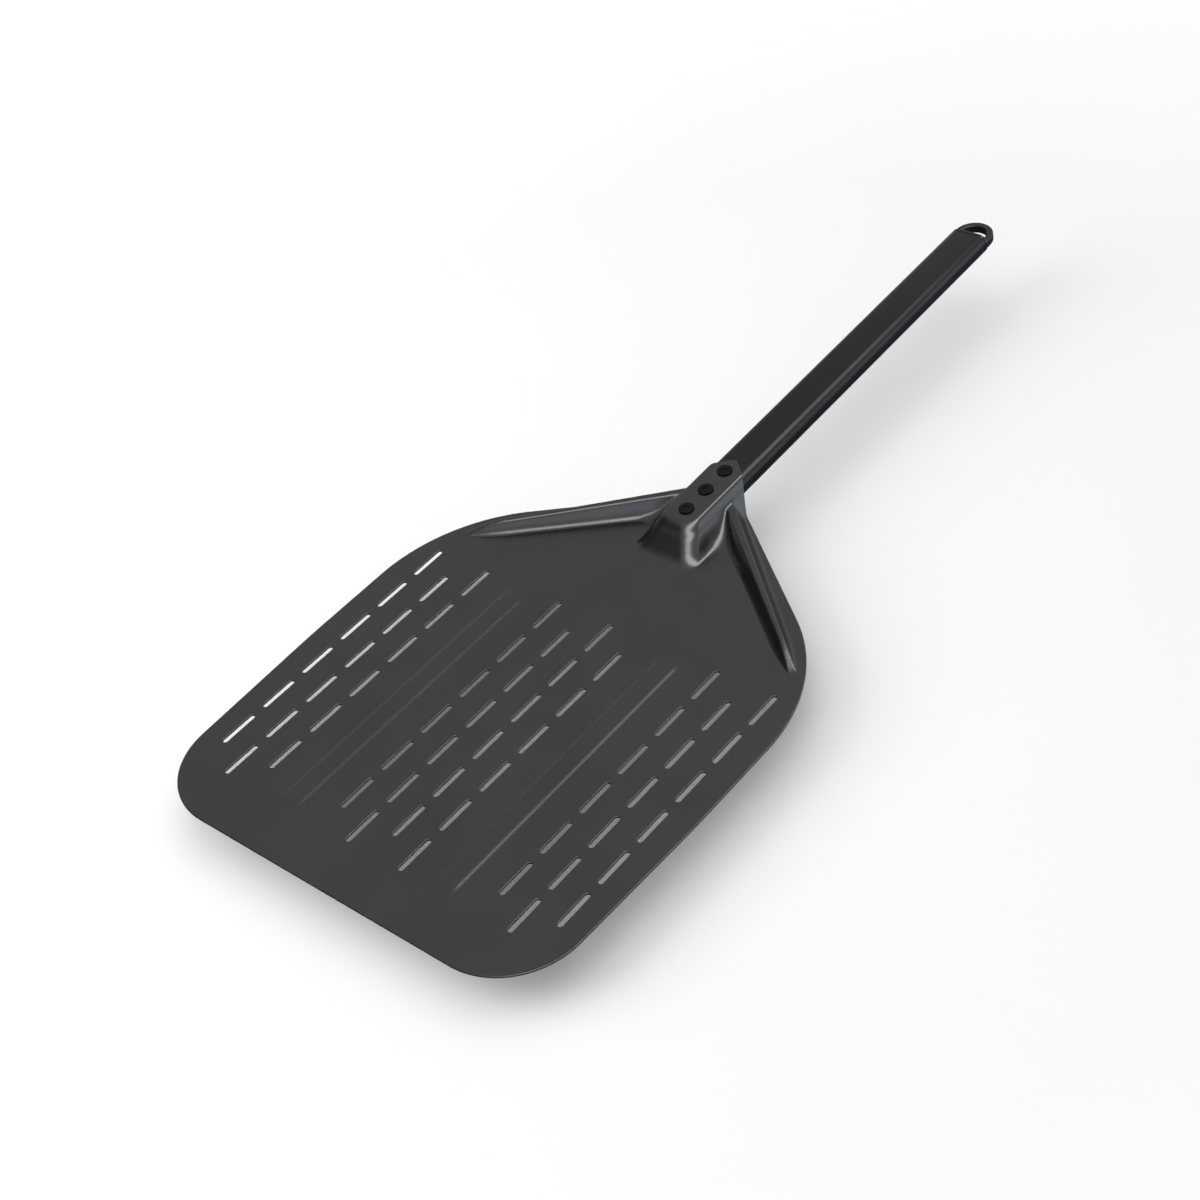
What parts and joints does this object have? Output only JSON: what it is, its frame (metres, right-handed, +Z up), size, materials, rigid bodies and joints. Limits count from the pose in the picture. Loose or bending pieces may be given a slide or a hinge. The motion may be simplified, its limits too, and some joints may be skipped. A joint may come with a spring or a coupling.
{
  "type": "pizza peel",
  "caption": "Perforated pizza peel: flat pressed sheet with rows of slots, diagonal ribs and a raised socket riveted over a straight rounded tube handle that ends in a hanging eye.",
  "frame": {"origin": "on the surface that the peel rests on, under the middle of its overall box: the middle of the blade's width and of the overall length", "axes": "+Z up, normal to the flat blade; +Y along the handle, from the blade's front edge towards the hanging eye; +X to the right across the blade, seen with the handle pointing away"},
  "size_m": [0.304, 0.6801, 0.0278],
  "materials": {
    "anodised_sheet": "hard anodised, satin dark grey",
    "anodised_tube": "hard anodised, satin, slightly darker than the blade",
    "black_rivet": "black anodised, semi-gloss",
    "rivet_steel": "dark zinc-plated steel",
    "black_plastic": "glossy black moulded plastic"
  },
  "bodies": {
    "root": {"blade_head": "anodised_sheet", "handle_tube": "anodised_tube", "end_cap": "black_plastic", "rivet_front_body": "black_rivet", "rivet_middle_body": "black_rivet", "rivet_rear_body": "black_rivet", "rivet_front_mandrel": "rivet_steel", "rivet_middle_mandrel": "rivet_steel", "rivet_rear_mandrel": "rivet_steel"}
  },
  "joints": []
}
